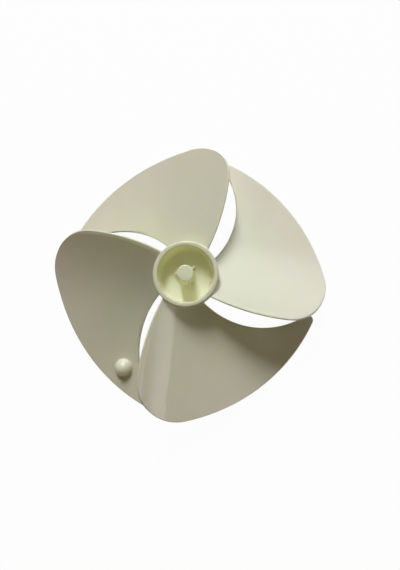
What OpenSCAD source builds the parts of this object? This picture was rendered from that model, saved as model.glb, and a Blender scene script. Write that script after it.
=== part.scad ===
// One-piece moulded axial fan with four pitched blades on a hub cup.
// Millimetres. The fan turns about the Z axis, its open hub mouth faces up, and
// the lowest corners of the blades touch Z = 0. The first blade's leading tip
// points along +Y, and the others follow anticlockwise as seen from above.

/* [Hub] */
// Outer diameter of the hub at its open rim
hub_d = 28; // [26:0.5:32]
// Height of the hub from its back edge to the rim
hub_h = 13; // [12:0.5:16]
// Wall thickness of the hub cup at the rim
hub_wall = 1.9; // [1.6:0.1:2.2]
// Draft angle of the hub walls, narrower at the back
hub_draft = 1.5; // [0.5:0.25:2]
// Depth of the open cup below the rim
cup_depth = 9; // [7:0.5:9.5]
// Thickness of the web that closes the cup
web_t = 2; // [1.6:0.1:2.4]
// Radius of the soft corner between cup wall and web
cup_corner_r = 1.6; // [0.8:0.1:2]
// Size of the rounded edges of the rim
rim_edge = 0.4; // [0.2:0.05:0.5]

/* [Shaft boss] */
// Diameter of the boss at its flat top
boss_d = 6.8; // [6.4:0.1:8]
// Height of the boss top above the rim
boss_rise = 2; // [0:0.25:3]
// Draft angle of the boss
boss_draft = 1; // [0.5:0.25:1.5]
// Chamfer round the boss top
boss_chamfer = 0.4; // [0.2:0.05:0.6]
// Radius of the soft corner at the foot of the boss
boss_foot_r = 0.8; // [0.4:0.1:1]
// Diameter of the motor shaft socket
socket_d = 3; // [2.9:0.02:3.2]
// Depth of the socket from the back of the hub
socket_depth = 12; // [10:0.5:12.5]
// Lead-in chamfer at the socket mouth
socket_lead = 0.4; // [0.2:0.05:0.6]
// Diameter of the socket boss below the web
socket_boss_d = 8; // [7:0.1:9]

/* [Gussets] */
// Number of gussets round the foot of the boss
gusset_count = 3; // [2:1:6]
// Direction of the first gusset from the X axis
gusset_turn = 50; // [0:1:119]
// Distance from the axis to the outer end of a gusset
gusset_reach = 5.4; // [4.8:0.1:7]
// Thickness of a gusset
gusset_t = 0.8; // [0.6:0.1:1.2]
// Height of a gusset's outer end above the web
gusset_h = 2.2; // [1:0.1:4]
// Height that a gusset gains towards the boss
gusset_slope = 1; // [0:0.1:2]

/* [Blade sheet] */
// Thickness of a blade
blade_t = 1.6; // [1.4:0.1:1.8]
// Inner radius of bend of the sheet, hollow side up
bend_r = 210; // [180:5:260]
// Pitch of the sheet where it would cross the fan axis
pitch = 27.2; // [24:0.2:30]
// Direction in which the sheet climbs, from the X axis
climb_turn = -13.3; // [-16:0.1:-10]
// Depth of the sheet's middle below the rim, at the fan axis
sheet_drop = 5.3; // [4.8:0.1:6.5]

/* [Blade outline, seen along the fan axis] */
// Diameter of the largest circle that fits inside the outer edges
fan_d = 114.6; // [110:0.2:120]
// Depth of the blade roots inside the hub wall, from the rim's outer edge
root_depth = 1; // [0.8:0.1:1.4]
// Radius of the leading edge
lead_r = 93.4; // [80:0.1:110]
// Distance that the leading edge passes beyond the fan axis
lead_offset = 2.9; // [1.5:0.1:4]
// Direction of the centre of the leading edge from the fan axis
lead_turn = 144.4; // [143:0.1:146]
// Radius of the big round leading tip
tip_r = 16.4; // [12:0.1:20]
// Radius of the outer edge
rim_r = 77.6; // [70:0.1:85]
// Direction of the centre of the outer edge from the fan axis
rim_turn = -53.7; // [-56:0.1:-50]
// Radius of the hollow trailing edge
trail_r = 38.2; // [35:0.1:42]
// Distance that the trailing edge passes beyond the fan axis
trail_offset = 0.9; // [0:0.1:2]
// Direction of the centre of the trailing edge from the fan axis
trail_turn = 205; // [203:0.1:207]
// Radius of the trailing outer corner
corner_r = 2.2; // [1.5:0.1:5]

/* [Balance knob] */
// Diameter of the knob
knob_d = 8.2; // [6:0.1:9]
// Height of the knob's round top above its straight foot
knob_dome = 3.7; // [2:0.1:4.5]
// Height of the knob's straight foot above the middle of the blade
knob_foot = 1.1; // [0.9:0.1:2]
// Distance from the fan axis to the knob
knob_out = 49.2; // [40:0.2:52]
// Direction of the knob from the X axis of its own blade
knob_turn = 143.4; // [135:0.2:148]

/* [Hidden] */
blade_count = 4;
// Which blade carries the knob: 0 is the first, then anticlockwise
knob_blade = 1;
ivory = [0.90, 0.89, 0.78];
// Degrees of arc for each side of the long edges, the round tip, the small corner and the root
edge_step = 3;
tip_step = 6;
corner_step = 30;
root_step = 12;
corner_sides = 6;
bend_sides = 480;
round_sides = 96;
// How far the gussets sink into the boss and the web
gusset_sink = 0.4;
// How far a cutting shape runs past what it cuts
spare = 1;

// Geometry helpers, all in the plane seen along the fan axis
function polar(r, a) = [r * cos(a), r * sin(a)];
function heading(p) = atan2(p[1], p[0]);
// Signed turn from direction a to direction b, the short way round
function short_turn(a, b) = let (d = (b - a) % 360) d > 180 ? d - 360 : d < -180 ? d + 360 : d;
// Points of the arc about c from point p to point q, the short way round
function arc(c, p, q, step) =
    let (r = norm(p - c), a = heading(p - c), d = short_turn(a, heading(q - c)),
         n = max(2, ceil(abs(d) / step)))
    [for (i = [0 : n]) c + polar(r, a + d * i / n)];
// Where circle c1, r1 meets circle c2, r2: side is 1 to the left going from c1 to c2, or -1
function meet(c1, r1, c2, r2, side) =
    let (v = c2 - c1, d = norm(v), along = (r1 * r1 - r2 * r2 + d * d) / (2 * d),
         across = sqrt(r1 * r1 - along * along), e = v / d)
    c1 + along * e + side * across * [-e[1], e[0]];
// Point of circle c, r on the line from c through p
function reach(c, r, p) = c + (p - c) * r / norm(p - c);

// Blade outline: leading edge, round tip, outer edge, corner, trailing edge, root
axis_pt = [0, 0];
root_r = hub_d / 2 - root_depth;
lead_c = polar(lead_r - lead_offset, lead_turn);
rim_c = polar(rim_r - fan_d / 2, rim_turn);
trail_c = polar(trail_r - trail_offset, trail_turn);
tip_c = meet(lead_c, lead_r - tip_r, rim_c, rim_r - tip_r, 1);
corner_c = meet(rim_c, rim_r - corner_r, trail_c, trail_r + corner_r, -1);
lead_root = meet(lead_c, lead_r, axis_pt, root_r, 1);
trail_root = meet(trail_c, trail_r, axis_pt, root_r, 1);
lead_tip = reach(lead_c, lead_r, tip_c);
rim_tip = reach(rim_c, rim_r, tip_c);
rim_corner = reach(rim_c, rim_r, corner_c);
trail_corner = reach(trail_c, trail_r, corner_c);
// Points of b without its first, or without both ends, so that arcs join without a double point
function tail(b) = [for (i = [1 : len(b) - 1]) b[i]];
function inner_part(b) = [for (i = [1 : len(b) - 2]) b[i]];
outline = concat(
    arc(lead_c, lead_root, lead_tip, edge_step),
    tail(arc(tip_c, lead_tip, rim_tip, tip_step)),
    tail(arc(rim_c, rim_tip, rim_corner, edge_step)),
    tail(arc(corner_c, rim_corner, trail_corner, corner_step)),
    tail(arc(trail_c, trail_corner, trail_root, edge_step)),
    inner_part(arc(axis_pt, trail_root, lead_root, root_step)));
// Farthest point of a blade from the fan axis
blade_reach = max([for (p = outline) norm(p)]);

// Bent sheet: part of a level tube that lies across the climb direction
climb = polar(1, climb_turn);
mid_r = bend_r + blade_t / 2;
under_r = bend_r + blade_t;
// Tube axis: distance along the climb direction, and height above the rim
tube_u = -mid_r * sin(pitch);
tube_above = mid_r * cos(pitch) - sheet_drop;
// Height of the sheet's underside, from the rim, at plan point p
function underside(p) = tube_above - sqrt(pow(under_r, 2) - pow(p * climb - tube_u, 2));
rim_z = -min([for (p = outline) underside(p)]);
tube_z = rim_z + tube_above;

// Heights of the hub
back_z = rim_z - hub_h;
floor_z = rim_z - cup_depth;
web_z = floor_z - web_t;
boss_z = rim_z + boss_rise;
socket_z = back_z + socket_depth;

// Radii of the drafted hub walls at height z
function outer_r(z) = hub_d / 2 - (rim_z - z) * tan(hub_draft);
function cup_r(z) = hub_d / 2 - hub_wall - (rim_z - z) * tan(hub_draft);
function skirt_r(z) = cup_r(floor_z) + (web_z - z) * tan(hub_draft) / 2;
function boss_r(z) = boss_d / 2 + (boss_z - z) * tan(boss_draft);
// Quarter round of radius r about c, from direction a to direction b, as [radius, height]
function round_corner(c, r, a, b) =
    [for (i = [0 : corner_sides]) c + polar(r, a + (b - a) * i / corner_sides)];

module hub() {
    foot_r = boss_r(floor_z);
    wall_r = cup_r(floor_z);
    profile = concat(
        [[0, socket_z], [socket_d / 2, socket_z],
         [socket_d / 2, back_z + socket_lead], [socket_d / 2 + socket_lead, back_z],
         [socket_boss_d / 2, back_z], [socket_boss_d / 2, web_z],
         [skirt_r(web_z), web_z], [skirt_r(back_z), back_z], [outer_r(back_z), back_z]],
        round_corner([hub_d / 2 - rim_edge, rim_z - rim_edge], rim_edge, 0, 90),
        round_corner([cup_r(rim_z) + rim_edge, rim_z - rim_edge], rim_edge, 90, 180),
        round_corner([wall_r - cup_corner_r, floor_z + cup_corner_r], cup_corner_r, 0, -90),
        round_corner([foot_r + boss_foot_r, floor_z + boss_foot_r], boss_foot_r, 270, 180),
        [[boss_d / 2, boss_z - boss_chamfer], [boss_d / 2 - boss_chamfer, boss_z], [0, boss_z]]);
    rotate_extrude($fn = round_sides) polygon(profile);
}

module gusset() {
    low = floor_z - gusset_sink;
    high = floor_z + gusset_h;
    inner = boss_d / 2 - gusset_sink;
    rotate([90, 0, 0])
        linear_extrude(height = gusset_t, center = true)
            polygon([[inner, low], [gusset_reach, low], [gusset_reach, high], [inner, high + gusset_slope]]);
}

module sheet() {
    rotate([0, 0, climb_turn])
        translate([tube_u, 0, tube_z])
            rotate([90, 0, 0])
                difference() {
                    cylinder(r = under_r, h = 2 * (blade_reach + spare), center = true, $fn = bend_sides);
                    cylinder(r = bend_r, h = 2 * (blade_reach + 2 * spare), center = true, $fn = bend_sides);
                }
}

// The outline is raised almost to the tube's axis, so that it keeps the tube's underside alone
module blade() {
    intersection() {
        translate([0, 0, -spare]) linear_extrude(height = tube_z) polygon(outline);
        sheet();
    }
}

// Knob standing square on the sheet, its foot buried to the middle of the blade
module knob() {
    tilt = asin((polar(knob_out, knob_turn) * climb - tube_u) / mid_r);
    across = polar(knob_out, knob_turn) * polar(1, climb_turn + 90);
    rotate([0, 0, climb_turn])
        translate([tube_u, across, tube_z])
            rotate([0, -tilt, 0])
                translate([0, 0, -mid_r])
                    rotate_extrude($fn = round_sides)
                        union() {
                            square([knob_d / 2, knob_foot]);
                            translate([0, knob_foot]) knob_top();
                        }
}

// Half outline of the knob's round top: an arc that meets the straight foot
module knob_top() {
    ball_r = (pow(knob_d / 2, 2) + pow(knob_dome, 2)) / (2 * knob_dome);
    intersection() {
        translate([0, knob_dome - ball_r]) circle(r = ball_r, $fn = round_sides);
        square([knob_d / 2, knob_dome]);
    }
}

module fan_blade() {
    color(ivory)
        union() {
            hub();
            for (i = [0 : gusset_count - 1])
                rotate([0, 0, gusset_turn + i * 360 / gusset_count]) gusset();
            for (i = [0 : blade_count - 1])
                rotate([0, 0, i * 360 / blade_count]) {
                    blade();
                    if (i == knob_blade) knob();
                }
        }
}

fan_blade();
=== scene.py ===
from math import radians, degrees, sin, cos, tan, asin, acos, atan2, sqrt

import bmesh
import bpy
from mathutils import Euler, Matrix, Vector


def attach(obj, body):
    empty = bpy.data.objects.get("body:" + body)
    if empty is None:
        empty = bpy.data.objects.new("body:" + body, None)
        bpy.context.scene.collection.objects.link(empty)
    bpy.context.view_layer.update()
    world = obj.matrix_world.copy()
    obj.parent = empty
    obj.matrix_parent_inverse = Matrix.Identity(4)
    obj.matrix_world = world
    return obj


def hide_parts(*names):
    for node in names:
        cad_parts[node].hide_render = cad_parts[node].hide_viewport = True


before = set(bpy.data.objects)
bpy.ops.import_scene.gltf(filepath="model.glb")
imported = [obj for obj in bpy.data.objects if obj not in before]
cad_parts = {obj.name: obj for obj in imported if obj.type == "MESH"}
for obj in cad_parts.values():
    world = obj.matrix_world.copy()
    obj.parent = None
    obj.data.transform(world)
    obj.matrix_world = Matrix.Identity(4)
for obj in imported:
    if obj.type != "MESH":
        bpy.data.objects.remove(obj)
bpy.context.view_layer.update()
print("frame loaded")

# The fan is modelled in millimetres on its own axis and brought to metres at the end.
# Z is the fan axis with the hub mouth up, and the lowest blade corners touch Z = 0.
seamGap = 0.001        # points closer than this, at the poles and seams of a piece, are made one


def polar(radius, turn):
    return Vector((radius * cos(radians(turn)), radius * sin(radians(turn))))


def heading(v):
    return degrees(atan2(v.y, v.x))


def circlesMeet(c1, r1, c2, r2, side):
    gap = c2 - c1
    d = gap.length
    along = (r1 * r1 - r2 * r2 + d * d) / (2 * d)
    way = gap / d
    return c1 + way * along + Vector((-way.y, way.x)) * side * sqrt(r1 * r1 - along * along)


def onCircle(centre, radius, towards):
    return centre + (towards - centre).normalized() * radius


def newObject(name, bm):
    bmesh.ops.recalc_face_normals(bm, faces=bm.faces[:])
    mesh = bpy.data.meshes.new(name)
    bm.to_mesh(mesh)
    bm.free()
    obj = bpy.data.objects.new(name, mesh)
    bpy.context.scene.collection.objects.link(obj)
    return obj


# place and clipStart are in metres, lens and sensorWidth in millimetres
cameraSet = {
    "place": (0.016407, -0.02107, 0.215966),
    "turn": (13.5656, 3.0794, 0.0),
    "lens": 28.463,
    "sensorWidth": 36,
    "shiftY": -0.12105,
    "clipStart": 0.005,
}


def makeCamera(p):
    lens = bpy.data.cameras.new("photoCamera")
    lens.lens = p["lens"]
    lens.sensor_width = p["sensorWidth"]
    lens.shift_y = p["shiftY"]
    lens.clip_start = p["clipStart"]
    camera = bpy.data.objects.new("photoCamera", lens)
    camera.location = p["place"]
    camera.rotation_euler = Euler([radians(a) for a in p["turn"]])
    bpy.context.scene.collection.objects.link(camera)
    bpy.context.scene.camera = camera


makeCamera(cameraSet)
print("camera set")

# one bent sheet gives the height of every blade: part of a level tube, hollow side up
sheetSet = {
    "rimHeight": 26.205,   # hub rim above the blade corners
    "thick": 1.6,
    "bendRadius": 210.8,   # to the middle of the sheet
    "pitch": 27.2,
    "climbTurn": -13.3,    # the way it climbs
    "drop": 5.3,           # its middle below the rim, at the fan axis
    "trailSide": -55.0,    # where the blade's edges lie along the climb
    "leadSide": 6.0,
    "steepFrom": -22.0,    # from here it steepens towards the leading edge
    "steepRise": 2.6,      # what that adds between the two edges, which keep their heights
}
rimZ = sheetSet["rimHeight"]
bend = sheetSet["bendRadius"]
climb = polar(1, sheetSet["climbTurn"])
tubeU = -bend * sin(radians(sheetSet["pitch"]))
tubeZ = rimZ - sheetSet["drop"] + bend * cos(radians(sheetSet["pitch"]))


def sheetTilt(v):
    return asin((v.x * climb.x + v.y * climb.y - tubeU) / bend)


def squareTo(v):
    # the way straight up from the sheet, towards the axis of its bend
    tilt = sheetTilt(v)
    return Vector((-sin(tilt) * climb.x, -sin(tilt) * climb.y, cos(tilt)))


def aboveSheet(v):
    # height of a point over the middle of the sheet, square to it
    return bend - Vector((v.x * climb.x + v.y * climb.y - tubeU, v.z - tubeZ)).length


def steepen(v):
    # lift of a point from the even bend to the real one, which is steeper near the leading edge
    along = v.x * climb.x + v.y * climb.y
    start = sheetSet["steepFrom"]
    curl = max(0, (along - start) / (sheetSet["leadSide"] - start)) ** 2
    chord = (along - sheetSet["trailSide"]) / (sheetSet["leadSide"] - sheetSet["trailSide"])
    return sheetSet["steepRise"] * (curl - chord)


hubSet = {
    "rimRadius": 14.0,
    "wall": 1.9,
    "draft": 1.5,
    "height": 13.0,
    "cupDepth": 9.0,
    "web": 2.0,
    "bossRadius": 3.4,
    "bossRise": 2.0,
    "bossDraft": 1.0,
    "socketRadius": 1.5,
    "socketDepth": 12.0,
    "socketBossRadius": 4.0,
    "rimRound": 0.7,
    "cupRound": 0.35,
    "floorRound": 1.6,
    "bossFootRound": 0.8,
    "bossRound": 0.45,
    "socketEndRound": 0.15,
    "socketMouthRound": 0.4,
    "socketBossRound": 0.3,
    "socketFootRound": 0.5,
    "pocketRound": 0.6,
    "skirtInnerRound": 0.3,
    "skirtOuterRound": 0.4,
    "roundSteps": 7,
    "sides": 192,
    "rowLength": 1.6,
}
floorZ = rimZ - hubSet["cupDepth"]


def hubRadius(z):
    return hubSet["rimRadius"] - (rimZ - z) * tan(radians(hubSet["draft"]))


def makeHub(p):
    lean = tan(radians(p["draft"]))
    backZ = rimZ - p["height"]
    webZ = floorZ - p["web"]
    bossZ = rimZ + p["bossRise"]
    cupTop = p["rimRadius"] - p["wall"]
    cupFoot = cupTop - p["cupDepth"] * lean
    skirtFoot = cupFoot + (webZ - backZ) * lean / 2
    bossFoot = p["bossRadius"] + (bossZ - floorZ) * tan(radians(p["bossDraft"]))
    # half section: radius, height and the radius that rounds the corner
    corners = [
        (0, backZ + p["socketDepth"], 0),
        (p["socketRadius"], backZ + p["socketDepth"], p["socketEndRound"]),
        (p["socketRadius"], backZ, p["socketMouthRound"]),
        (p["socketBossRadius"], backZ, p["socketBossRound"]),
        (p["socketBossRadius"], webZ, p["socketFootRound"]),
        (cupFoot, webZ, p["pocketRound"]),
        (skirtFoot, backZ, p["skirtInnerRound"]),
        (hubRadius(backZ), backZ, p["skirtOuterRound"]),
        (p["rimRadius"], rimZ, p["rimRound"]),
        (cupTop, rimZ, p["cupRound"]),
        (cupFoot, floorZ, p["floorRound"]),
        (bossFoot, floorZ, p["bossFootRound"]),
        (p["bossRadius"], bossZ, p["bossRound"]),
        (0, bossZ, 0),
    ]
    bm = bmesh.new()
    verts = [bm.verts.new((r, 0, z)) for r, z, _ in corners]
    bm.faces.new(verts)
    for vert, (_, _, radius) in zip(verts, corners):
        if radius:
            a, b = [(e.other_vert(vert).co - vert.co).normalized() for e in vert.link_edges]
            bmesh.ops.bevel(bm, geom=[vert], offset=radius / tan(a.angle(b) / 2), profile=0.5,
                            segments=p["roundSteps"], affect="VERTICES", material=-1)
    bmesh.ops.delete(bm, geom=bm.faces[:], context="FACES_ONLY")
    onAxis = [e for e in bm.edges if all(v.co.x == 0 for v in e.verts)]
    bmesh.ops.delete(bm, geom=onAxis, context="EDGES")
    # long stretches get rows, so that the shading stays even
    for edge in bm.edges[:]:
        cuts = int(edge.calc_length() / p["rowLength"])
        if cuts:
            bmesh.ops.subdivide_edges(bm, edges=[edge], cuts=cuts)
    bmesh.ops.spin(bm, geom=bm.verts[:] + bm.edges[:], axis=(0, 0, 1),
                   angle=radians(360), steps=p["sides"], use_merge=True)
    bmesh.ops.remove_doubles(bm, verts=bm.verts[:], dist=seamGap)
    return newObject("hubCup", bm)


gussetSet = {
    "count": 3,
    "firstTurn": 50,
    "reach": 5.4,
    "thick": 0.8,
    "height": 2.2,
    "slope": 1.0,          # what it gains in height towards the boss
    "sink": 0.4,           # how deep it goes into the boss and the floor
    "edgeRound": 0.22,
    "roundSteps": 4,
}


def makeGusset(p, turn):
    inner = hubSet["bossRadius"] - p["sink"]
    middle = (inner + p["reach"]) / 2
    bm = bmesh.new()
    bmesh.ops.create_cube(bm, size=1)
    bmesh.ops.scale(bm, verts=bm.verts[:],
                    vec=(p["reach"] - inner, p["thick"], p["height"] + p["sink"]))
    bmesh.ops.translate(bm, verts=bm.verts[:],
                        vec=(middle, 0, floorZ + (p["height"] - p["sink"]) / 2))
    high = [v for v in bm.verts if v.co.z > floorZ and v.co.x < middle]
    bmesh.ops.translate(bm, verts=high, vec=(0, 0, p["slope"]))
    free = [e for e in bm.edges if any(v.co.z > floorZ and v.co.x > middle for v in e.verts)]
    bmesh.ops.bevel(bm, geom=free, offset=p["edgeRound"], segments=p["roundSteps"], profile=0.5,
                    affect="EDGES", clamp_overlap=True, material=-1)
    bmesh.ops.rotate(bm, verts=bm.verts[:], matrix=Matrix.Rotation(radians(turn), 3, "Z"))
    return newObject("bossGusset", bm)


bladeSet = {
    "count": 4,
    "rootRadius": 13.0,
    "rootSlack": 0.01,    # how far off the root circle its own points may lie
    "leadRadius": 93.4, "leadOut": 90.5, "leadTurn": 144.4,
    "tipRadius": 16.4,
    "rimRadius": 77.5, "rimOut": 20.3, "rimTurn": -53.7,
    "trailRadius": 38.2, "trailOut": 37.3, "trailTurn": 205.0,
    "cornerRadius": 2.2,
    "edgeRound": 0.35,
    "roundSteps": 5,
    "sharpTurn": 50,      # edges that turn by more degrees than this are rounded
    "leadTaper": 2.0,     # width of the band that thins out towards the leading edge
    "leadThin": 0.4,      # what it loses from its upper face
    "leadUnder": 0.5,     # and from its lower face
    "taperPower": 1.5,
    "rootFillet": 0.7,
    "filletRows": 6,
    "filletSink": 0.05,   # how far the fillet goes on inside the hub wall, and its least rise
    "filletBelow": 0.5,   # the upper fillet ends this far below the rim
    "grow": (0.3, 0.4, 0.55, 0.75, 0.95),   # row widths outside the fillet
    "wallGap": 0.1,       # the rows of the fillet start this far inside the hub wall
    "sideRows": 44,
    "tipRows": 13,        # as many of them run round the near half of the tip
    "rimColumns": 30,
    "tipColumns": 12,
    "cornerColumns": 3,
    "edgeColumn": 0.9,    # width at the root of the column that the edge round needs
    "fineColumns": 4,     # columns beside the leading edge that are halved for its taper
}


def spinArc(bm, start, centre, turn, steps):
    known = len(bm.verts)
    bmesh.ops.spin(bm, geom=[start], cent=centre.to_3d(), axis=(0, 0, 1),
                   angle=radians(turn), steps=steps)
    bm.verts.ensure_lookup_table()
    return bm.verts[len(bm.verts) - 1] if len(bm.verts) > known else start


def turnBetween(centre, a, b):
    return (heading(b - centre) - heading(a - centre)) % 360


def stripFrom(edge):
    # the edges across one strip of quads, from a border edge to the other border
    ring = [edge]
    face = edge.link_faces[0]
    while face:
        last = set(ring[-1].verts)
        ring.append(next(e for e in face.edges if not last & set(e.verts)))
        face = next((f for f in ring[-1].link_faces if f is not face), None)
    return ring


def makeBlade(p, turn):
    axis = Vector((0, 0))
    leadC = polar(p["leadOut"], p["leadTurn"])
    rimC = polar(p["rimOut"], p["rimTurn"])
    trailC = polar(p["trailOut"], p["trailTurn"])
    tipC = circlesMeet(leadC, p["leadRadius"] - p["tipRadius"],
                       rimC, p["rimRadius"] - p["tipRadius"], 1)
    cornerC = circlesMeet(rimC, p["rimRadius"] - p["cornerRadius"],
                          trailC, p["trailRadius"] + p["cornerRadius"], -1)
    leadRoot = circlesMeet(leadC, p["leadRadius"], axis, p["rootRadius"], 1)
    trailRoot = circlesMeet(trailC, p["trailRadius"], axis, p["rootRadius"], 1)
    leadTip = onCircle(leadC, p["leadRadius"], tipC)
    rimTip = onCircle(rimC, p["rimRadius"], tipC)
    rimCorner = onCircle(rimC, p["rimRadius"], cornerC)
    trailCorner = onCircle(trailC, p["trailRadius"], cornerC)

    half = sheetSet["thick"] / 2

    # rows close to the hub follow the root fillet, and widen outwards
    fillet = p["rootFillet"]
    turns = [90 * k / p["filletRows"] for k in range(p["filletRows"] + 1)]
    stops = [fillet * (1 - cos(radians(a))) for a in turns]
    toWall = hubSet["rimRadius"] - p["rootRadius"]
    nearRows = [toWall / 2, toWall / 2 - p["wallGap"]]
    nearRows += [b - a for a, b in zip(stops, stops[1:])]
    nearRows += p["grow"]

    bm = bmesh.new()

    def edgeArc(start, centre, radius, left, tail):
        # short rows first, then equal rows over what is left of the arc
        for width in nearRows:
            step = degrees(width / radius)
            start = spinArc(bm, start, centre, step, 1)
            left -= step
        return spinArc(bm, start, centre, left, tail)

    tipHalf = turnBetween(tipC, leadTip, rimTip) / 2
    cornerHalf = turnBetween(cornerC, rimCorner, trailCorner) / 2
    first = bm.verts.new(leadRoot.to_3d())
    last = edgeArc(first, leadC, p["leadRadius"], turnBetween(leadC, leadRoot, leadTip),
                   p["sideRows"] - p["tipRows"])
    tipMid = spinArc(bm, last, tipC, tipHalf, p["tipRows"])
    other = bm.verts.new(trailRoot.to_3d())
    last = edgeArc(other, trailC, p["trailRadius"], turnBetween(trailC, trailRoot, trailCorner),
                   p["sideRows"] - p["cornerColumns"])
    spinArc(bm, last, cornerC, -cornerHalf, p["cornerColumns"])
    sides = bm.edges[:]
    last = spinArc(bm, tipMid, tipC, tipHalf, p["tipColumns"])
    last = spinArc(bm, last, rimC, turnBetween(rimC, rimTip, rimCorner), p["rimColumns"])
    spinArc(bm, last, cornerC, cornerHalf, p["cornerColumns"])
    # root arc, with one wide column at each end
    wide = degrees(p["edgeColumn"] / p["rootRadius"])
    arc = turnBetween(axis, leadRoot, trailRoot)
    last = spinArc(bm, first, axis, wide, 1)
    columns = p["tipColumns"] + p["rimColumns"] + p["cornerColumns"]
    last = spinArc(bm, last, axis, arc - 2 * wide, columns - 2)
    spinArc(bm, last, axis, wide, 1)
    bmesh.ops.remove_doubles(bm, verts=bm.verts[:], dist=seamGap)
    bmesh.ops.grid_fill(bm, edges=[e for e in sides if e.is_valid])
    atRoot = p["rootRadius"] + p["rootSlack"]
    root = [e for e in bm.edges if all(v.co.length < atRoot for v in e.verts)]
    root.sort(key=lambda e: min((v.co.xy - leadRoot).length for v in e.verts))
    strips = [e for start in root[:p["fineColumns"]] for e in stripFrom(start)]
    bmesh.ops.subdivide_edges(bm, edges=strips, cuts=1)

    # bend the flat blank, then give it its thickness both ways
    for v in bm.verts:
        v.co.z = tubeZ - bend * cos(sheetTilt(v.co))
        v.co += squareTo(v.co) * half
    under = bmesh.ops.extrude_face_region(bm, geom=bm.faces[:])["geom"]
    for v in [g for g in under if isinstance(g, bmesh.types.BMVert)]:
        v.co -= squareTo(v.co) * sheetSet["thick"]
    bmesh.ops.recalc_face_normals(bm, faces=bm.faces[:])
    # all edges are rounded but those at the root, which stay inside the hub wall
    rims = [e for e in bm.edges if e.calc_face_angle() > radians(p["sharpTurn"])
            and any(v.co.xy.length > atRoot for v in e.verts)]
    bmesh.ops.bevel(bm, geom=rims, offset=p["edgeRound"], segments=p["roundSteps"], profile=0.5,
                    affect="EDGES", clamp_overlap=False, material=-1)

    # both faces roll to a thin leading edge
    for v in bm.verts:
        toLead = p["leadRadius"] - (v.co.xy - leadC).length
        share = min(1, max(0, 1 - toLead / p["leadTaper"])) ** p["taperPower"]
        upper = min(1, max(0, (aboveSheet(v.co) / half + 1) / 2))
        v.co -= squareTo(v.co) * share * (p["leadThin"] * upper - p["leadUnder"] * (1 - upper))

    # root fillet: both faces swell towards the hub wall, the upper one only up to the rim
    for v in bm.verts:
        out = v.co.xy.length - hubRadius(v.co.z) + p["filletSink"]
        if out < fillet:
            share = 1 - sqrt(max(0, 1 - (1 - max(0, out) / fillet) ** 2))
            over = aboveSheet(v.co) / half
            room = fillet
            if over > 0:
                room = min(fillet, max(p["filletSink"], rimZ - p["filletBelow"] - v.co.z))
            v.co.z += over * share * room
    for v in bm.verts:
        v.co.z += steepen(v.co)
    bmesh.ops.rotate(bm, verts=bm.verts[:], matrix=Matrix.Rotation(radians(turn), 3, "Z"))
    return newObject("fanBlade", bm)


knobSet = {
    "ball": 3.9,          # radius of its dome
    "high": 4.4,          # its top above the middle of the blade
    "footRound": 0.3,
    "footSink": 0.05,     # how far the soft corner goes below the skin of the blade
    "domeSteps": 18,
    "out": 49.5,
    "turn": 143.4,
    "blade": 1,
    "sides": 96,
}


def makeKnob(p, turn):
    skin = sheetSet["thick"] / 2
    centreZ = p["high"] - p["ball"]
    footTurn = acos((skin + p["footRound"] - centreZ) / p["ball"])
    wide = p["ball"] * sin(footTurn) + p["footRound"]
    bm = bmesh.new()
    # half section from the top down: dome, soft corner, buried base
    top = bm.verts.new((0, 0, p["high"]))
    bmesh.ops.spin(bm, geom=[top], cent=(0, 0, centreZ), axis=(0, 1, 0),
                   angle=footTurn, steps=p["domeSteps"])
    bm.verts.ensure_lookup_table()
    last = bm.verts[len(bm.verts) - 1]
    for r, z in ((wide, skin - p["footSink"]), (wide, 0), (0, 0)):
        vert = bm.verts.new((r, 0, z))
        bm.edges.new((last, vert))
        last = vert
    bmesh.ops.spin(bm, geom=bm.verts[:] + bm.edges[:], axis=(0, 0, 1),
                   angle=radians(360), steps=p["sides"], use_merge=True)
    bmesh.ops.remove_doubles(bm, verts=bm.verts[:], dist=seamGap)
    # stand it square on the bent sheet
    place = polar(p["out"], p["turn"])
    tilt = sheetTilt(place)
    foot = Vector((place.x, place.y, tubeZ - bend * cos(tilt)))
    foot.z += steepen(place)
    spot = (Matrix.Rotation(radians(turn), 4, "Z") @ Matrix.Translation(foot)
            @ Matrix.Rotation(radians(sheetSet["climbTurn"]), 4, "Z") @ Matrix.Rotation(-tilt, 4, "Y"))
    bmesh.ops.transform(bm, matrix=spot, verts=bm.verts[:])
    return newObject("balanceKnob", bm)


def joinSolids(name, solids):
    # every later solid is united with the first, which gives one closed skin
    first = solids[0]
    for solid in solids[1:]:
        join = first.modifiers.new("join", "BOOLEAN")
        join.operation = "UNION"
        join.solver = "MANIFOLD"
        join.object = solid
    ready = first.evaluated_get(bpy.context.evaluated_depsgraph_get())
    mesh = bpy.data.meshes.new_from_object(ready)
    mesh.name = name
    for solid in solids:
        bpy.data.objects.remove(solid)
    obj = bpy.data.objects.new(name, mesh)
    bpy.context.scene.collection.objects.link(obj)
    return obj


fanSet = {
    "metres": 0.001,       # one millimetre
    "sharpTurn": 35,       # faces that turn by more degrees than this meet in a sharp line
}
gussetStep = 360 / gussetSet["count"]
gussetTurns = [gussetSet["firstTurn"] + gussetStep * i for i in range(gussetSet["count"])]
bladeStep = 360 / bladeSet["count"]
knobBladeTurn = bladeStep * knobSet["blade"]
solids = [makeHub(hubSet)]
solids += [makeGusset(gussetSet, turn) for turn in gussetTurns]
solids += [makeBlade(bladeSet, bladeStep * i) for i in range(bladeSet["count"])]
solids += [makeKnob(knobSet, knobBladeTurn)]
print("solids made", [len(s.data.polygons) for s in solids])
fan = joinSolids("ivoryFan", solids)
fan.data.transform(Matrix.Scale(fanSet["metres"], 4))
for face in fan.data.polygons:
    face.use_smooth = True
fan.data.set_sharp_from_angle(angle=radians(fanSet["sharpTurn"]))
soften = fan.modifiers.new("evenShade", "WEIGHTED_NORMAL")
soften.keep_sharp = True
print("fan joined", len(fan.data.polygons))


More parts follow.
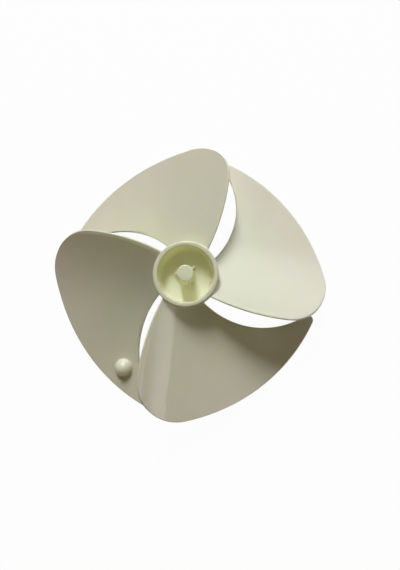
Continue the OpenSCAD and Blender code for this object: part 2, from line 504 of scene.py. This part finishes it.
def mathNode(nodes, links, operation, *values):
    # a number goes into its socket as it is, and anything else is linked
    node = nodes.new("ShaderNodeMath")
    node.operation = operation
    for socket, value in zip(node.inputs, values):
        if isinstance(value, (int, float)):
            socket.default_value = value
        else:
            links.new(value, socket)
    return node.outputs["Value"]


def rampNode(nodes, links, value, low, high, start=0, end=1):
    node = nodes.new("ShaderNodeMapRange")
    node.interpolation_type = "SMOOTHSTEP"
    for name, number in (("From Min", low), ("From Max", high), ("To Min", start), ("To Max", end)):
        node.inputs[name].default_value = number
    links.new(value, node.inputs["Value"])
    return node.outputs["Result"]


# the plastic's lengths are in metres, like the finished mesh
plasticSet = {
    "color": (0.80, 0.772, 0.62),
    "hubTint": (0.985, 1.01, 0.97),       # the middle is a little greener
    "tipTint": (1.01, 0.985, 1.0),        # and the blade tips are a little pinker
    "tintFrom": 0.030,
    "tintTo": 0.062,
    "paintedLightTint": (1.09, 1.115, 1.10),     # painted light: boss and knob are painted lighter, standing in for the light they catch
    "paintedLightFade": 0.0004,                  # half the width over which that fades at their foot
    "cupPaintedLight": (0.98, 0.99, 0.70),       # painted light: inside the hub cup, lighter and yellower for the light caught and bounced there
    "cupOver": 0.0006,                    # the cup's colour starts this far outside its wall
    "cupUnder": 0.0002,                   # and is full this far inside it
    "cupAbove": 0.001,                    # likewise above the rim
    "cupBelow": 0.003,                    # and below it
    "driftSize": 0.022,
    "driftDetail": 3,
    "driftShare": 0.012,
    "driftFrom": 0.35,
    "roughness": 0.33,
    "roughSpread": 0.04,
    "roughSize": 0.00733,
    "roughDetail": 2,
    "roughFrom": 0.3,
    "gloss": 0.5,                         # weight of the sharp sheen that lies over the soft one
    "glossRoughness": 0.03,
    "ior": 1.5,
    "waveSize": 0.014,
    "waveDetail": 1,
    "waveHeight": 0.000025,
    "grainSize": 0.0006,
    "grainDetail": 2,
    "grainHeight": 0.000004,
    "bleedWeight": 0.5,
    "bleedDepth": 0.0014,
    "bleedColor": (1.0, 0.92, 0.62),
    "cupBleedWeight": 1.0,
    "cupBleedDepth": 0.003,
}


def makePlastic(p):
    material = bpy.data.materials.new("ivoryPlastic")
    material.use_nodes = True
    nodes, links = material.node_tree.nodes, material.node_tree.links
    shader = nodes["Principled BSDF"]
    place = nodes.new("ShaderNodeTexCoord").outputs["Object"]

    def noise(size, detail):
        node = nodes.new("ShaderNodeTexNoise")
        node.inputs["Scale"].default_value = 1 / size
        node.inputs["Detail"].default_value = detail
        links.new(place, node.inputs["Vector"])
        return node.outputs["Fac"]

    def ramp(value, low, high, start=0, end=1):
        return rampNode(nodes, links, value, low, high, start, end)

    def blend(share, a, b, way="MIX"):
        node = nodes.new("ShaderNodeMix")
        node.data_type = "RGBA"
        node.blend_type = way
        for name, color in (("A", a), ("B", b)):
            if isinstance(color, tuple):
                node.inputs[name].default_value = (*color, 1)
            else:
                links.new(color, node.inputs[name])
        if share == 1:
            node.inputs["Factor"].default_value = 1
        else:
            links.new(share, node.inputs["Factor"])
        return node.outputs["Result"]

    def bump(height, distance, under=None):
        node = nodes.new("ShaderNodeBump")
        node.inputs["Strength"].default_value = 1
        node.inputs["Distance"].default_value = distance
        links.new(height, node.inputs["Height"])
        if under:
            links.new(under, node.inputs["Normal"])
        return node.outputs["Normal"]

    def distanceFrom(spot):
        node = nodes.new("ShaderNodeVectorMath")
        node.operation = "DISTANCE"
        node.inputs[1].default_value = spot.to_3d() * fanSet["metres"]
        links.new(flat.outputs["Vector"], node.inputs[0])
        return node.outputs["Value"]

    # how far a point is from the fan axis and from the knob's, and its height
    flat = nodes.new("ShaderNodeVectorMath")
    flat.operation = "MULTIPLY"
    flat.inputs[1].default_value = (1, 1, 0)
    links.new(place, flat.inputs[0])
    reach = distanceFrom(Vector((0, 0)))
    knobReach = distanceFrom(polar(knobSet["out"], knobSet["turn"] + knobBladeTurn))
    height = nodes.new("ShaderNodeSeparateXYZ")
    links.new(place, height.inputs[0])
    # the cup mask: where the painted bounce light goes, and where the subsurface runs deeper
    cupWall = (hubSet["rimRadius"] - hubSet["wall"]) * fanSet["metres"]
    cupMouth = rimZ * fanSet["metres"]
    within = ramp(reach, cupWall + p["cupOver"], cupWall - p["cupUnder"])
    below = ramp(height.outputs["Z"], cupMouth + p["cupAbove"], cupMouth - p["cupBelow"])
    cup = mathNode(nodes, links, "MULTIPLY", within, below)

    # slow drift of the tint, as in a moulding that cooled unevenly
    drift = ramp(noise(p["driftSize"], p["driftDetail"]), p["driftFrom"], 1 - p["driftFrom"])
    spread = ramp(reach, p["tintFrom"], p["tintTo"])
    tint = blend(spread, tuple(c * m for c, m in zip(p["color"], p["hubTint"])),
                 tuple(c * m for c, m in zip(p["color"], p["tipTint"])))
    green = (1 - p["driftShare"], 1.0, 1 - 2 * p["driftShare"])
    pink = (1 + p["driftShare"], 1.0, 1 + 2 * p["driftShare"])
    tint = blend(1, tint, blend(drift, green, pink), "MULTIPLY")

    # painted light: the boss and the knob are painted lighter than the thin blades, standing in for the
    # light that falls on them
    nearest = mathNode(nodes, links, "MINIMUM", reach, knobReach)
    paintedLightEdge = knobSet["ball"] * fanSet["metres"]
    thick = ramp(nearest, paintedLightEdge + p["paintedLightFade"], paintedLightEdge - p["paintedLightFade"])
    tint = blend(1, tint, blend(thick, (1.0, 1.0, 1.0), p["paintedLightTint"]), "MULTIPLY")
    # painted light: inside the cup the colour is lighter and yellower, standing in for light bounced
    # between its walls
    links.new(blend(cup, tint, p["cupPaintedLight"]), shader.inputs["Base Color"])

    rough = ramp(noise(p["roughSize"], p["roughDetail"]), p["roughFrom"], 1 - p["roughFrom"],
                 p["roughness"] - p["roughSpread"], p["roughness"] + p["roughSpread"])
    links.new(rough, shader.inputs["Roughness"])
    wave = bump(noise(p["waveSize"], p["waveDetail"]), p["waveHeight"])
    links.new(wave, shader.inputs["Coat Normal"])
    grain = bump(noise(p["grainSize"], p["grainDetail"]), p["grainHeight"], wave)
    links.new(grain, shader.inputs["Normal"])
    shader.inputs["IOR"].default_value = p["ior"]
    shader.inputs["Coat Weight"].default_value = p["gloss"]
    shader.inputs["Coat Roughness"].default_value = p["glossRoughness"]
    shader.inputs["Subsurface Radius"].default_value = p["bleedColor"]
    links.new(ramp(cup, 0, 1, p["bleedWeight"], p["cupBleedWeight"]), shader.inputs["Subsurface Weight"])
    links.new(ramp(cup, 0, 1, p["bleedDepth"], p["cupBleedDepth"]), shader.inputs["Subsurface Scale"])
    return material


fan.data.materials.clear()
fan.data.materials.append(makePlastic(plasticSet))
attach(fan, "root")
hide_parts("fan_blade")
print("plastic set")

lampSet = {
    # name: the way to the lamp as turn and rise in degrees, its width, height, power, tint, the
    # share of its side, lower and upper edges over which its light fades, and its slant in degrees
    "window": (99, 39, 0.49, 0.92, 46.0, (0.94, 0.97, 1.0), (0.15, 0.4, 0.1)),
    "skyRight": (68, 28, 1.22, 1.15, 11.0, (0.84, 0.92, 1.0), (0.35, 0.35, 0.35)),
    "skyLeft": (158, 46, 0.95, 0.95, 7.6, (1.0, 0.92, 0.72), (0.45, 0.45, 0.45)),
    "ceiling": (0, 88, 1.26, 1.26, 1.9, (1.0, 0.74, 0.10), (0.2, 0.2, 0.2)),
    "roomRight": (15, 15, 1.26, 1.00, 3.6, (0.90, 0.95, 0.95), (0.2, 0.2, 0.2)),
    "roomLow": (295, 15, 1.26, 1.00, 3.6, (1.0, 0.74, 0.28), (0.2, 0.2, 0.2)),
    "wallCard": (-22.9, 31.4, 0.80, 0.225, 2.1, (1.0, 0.93, 0.96), (0.1, 0.55, 0.0), -13.5),
}
lampAway = 2.0             # metres from the origin to every lamp
roomSet = {
    "color": (1.0, 0.90, 0.60),
    "strength": 0.01,
    "floorSize": 3.0,      # half its side
    "floorCells": 4,
    "floorDrop": 0.0002,   # how far it lies below the fan
    "floorColor": (0.80, 0.80, 0.78),
    "floorRoughness": 0.9,
    "floorWhite": 0.97,    # share of plain white in what the camera sees of the floor
    "glossWhite": 0.15,    # how much of the white background shows in reflections
}


def makeLamp(name, turn, rise, width, height, power, tint, fades, slant=0):
    way = (polar(1, turn) * cos(radians(rise))).to_3d() + Vector((0, 0, sin(radians(rise))))
    lamp = bpy.data.lights.new(name, "AREA")
    lamp.shape = "RECTANGLE"
    lamp.size = width
    lamp.size_y = height
    lamp.energy = power
    lamp.color = tint
    # Parametric runs from 0 to 1 over the width and the height of the lamp
    lamp.use_nodes = True
    nodes, links = lamp.node_tree.nodes, lamp.node_tree.links
    spot = nodes.new("ShaderNodeSeparateXYZ")
    links.new(nodes.new("ShaderNodeNewGeometry").outputs["Parametric"], spot.inputs[0])
    side, low, high = fades
    light = 1
    for axis, start, end in (("X", 0, side), ("X", 1, 1 - side), ("Y", 0, low), ("Y", 1, 1 - high)):
        if start != end:
            fade = rampNode(nodes, links, spot.outputs[axis], start, end)
            light = mathNode(nodes, links, "MULTIPLY", fade, light)
    links.new(light, nodes["Emission"].inputs["Strength"])
    obj = bpy.data.objects.new(name, lamp)
    obj.location = way * lampAway
    aim = way.to_track_quat("Z", "Y").to_matrix() @ Matrix.Rotation(radians(slant), 3, "Z")
    obj.rotation_euler = aim.to_euler()
    bpy.context.scene.collection.objects.link(obj)


def seenWhite(nodes, links, most):
    # how white the background is: for the camera and through glass, in reflections, for the rest 0
    ray = nodes.new("ShaderNodeLightPath").outputs
    seen = mathNode(nodes, links, "MULTIPLY_ADD", ray["Is Glossy Ray"], roomSet["glossWhite"],
                    ray["Is Camera Ray"])
    seen = mathNode(nodes, links, "MAXIMUM", seen, ray["Is Transmission Ray"])
    return mathNode(nodes, links, "MULTIPLY", seen, most)


def makeRoom(p):
    world = bpy.data.worlds.new("studioRoom")
    bpy.context.scene.world = world
    world.use_nodes = True
    nodes, links = world.node_tree.nodes, world.node_tree.links
    room = nodes["Background"]
    room.inputs["Color"].default_value = (*p["color"], 1)
    room.inputs["Strength"].default_value = p["strength"]
    white = nodes.new("ShaderNodeBackground")
    white.inputs["Color"].default_value = (1, 1, 1, 1)
    pick = nodes.new("ShaderNodeMixShader")
    links.new(seenWhite(nodes, links, 1), pick.inputs["Fac"])
    links.new(room.outputs["Background"], pick.inputs[1])
    links.new(white.outputs["Background"], pick.inputs[2])
    links.new(pick.outputs["Shader"], nodes["World Output"].inputs["Surface"])


def makeFloor(p):
    bm = bmesh.new()
    bmesh.ops.create_grid(bm, x_segments=p["floorCells"], y_segments=p["floorCells"], size=p["floorSize"])
    bmesh.ops.translate(bm, verts=bm.verts[:], vec=(0, 0, -p["floorDrop"]))
    floor = newObject("paleFloor", bm)
    material = bpy.data.materials.new("paleFloor")
    material.use_nodes = True
    nodes, links = material.node_tree.nodes, material.node_tree.links
    paint = nodes["Principled BSDF"]
    paint.inputs["Base Color"].default_value = (*p["floorColor"], 1)
    paint.inputs["Roughness"].default_value = p["floorRoughness"]
    white = nodes.new("ShaderNodeEmission")
    pick = nodes.new("ShaderNodeMixShader")
    links.new(seenWhite(nodes, links, p["floorWhite"]), pick.inputs["Fac"])
    links.new(paint.outputs["BSDF"], pick.inputs[1])
    links.new(white.outputs["Emission"], pick.inputs[2])
    links.new(pick.outputs["Shader"], nodes["Material Output"].inputs["Surface"])
    floor.data.materials.append(material)


for name, values in lampSet.items():
    makeLamp(name, *values)
makeRoom(roomSet)
makeFloor(roomSet)
bpy.context.scene.view_settings.view_transform = "Standard"
print("lights and floor set")
